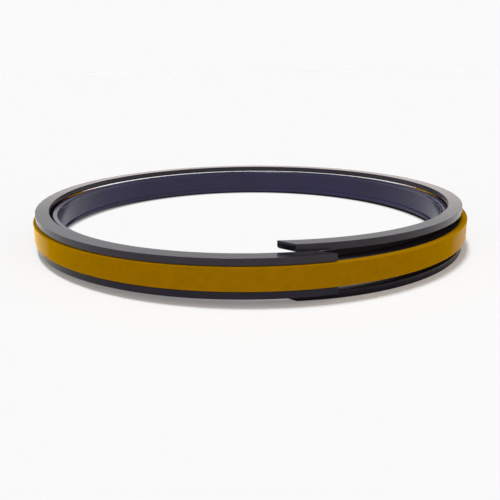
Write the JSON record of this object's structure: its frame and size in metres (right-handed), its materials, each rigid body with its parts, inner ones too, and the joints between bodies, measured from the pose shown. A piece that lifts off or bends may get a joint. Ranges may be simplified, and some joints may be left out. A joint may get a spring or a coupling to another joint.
{
  "type": "piston seal",
  "caption": "Piston seal set lying free: slide ring over a rubber energizer with split backup rings whose ends ride over each other.",
  "frame": {"origin": "on the slide ring's axis, at the level of the lowest face of the set, which is the underside of the lower backup ring's free end", "axes": "+Z along the axis of the rings, upwards as the set lies; -Y is the front, where the ends of the split rings overlap, and +X is to the right of it"},
  "size_m": [0.204, 0.204, 0.0209],
  "materials": {
    "ochre_ptfe": "satin filled PTFE, dyed through",
    "black_rubber": "satin moulded nitrile rubber",
    "black_nylon": "satin turned nylon"
  },
  "bodies": {
    "root": {"slide_ring": "ochre_ptfe", "energizer": "black_rubber", "upper_backup_ring": "black_nylon", "lower_backup_ring": "black_nylon"}
  },
  "joints": []
}
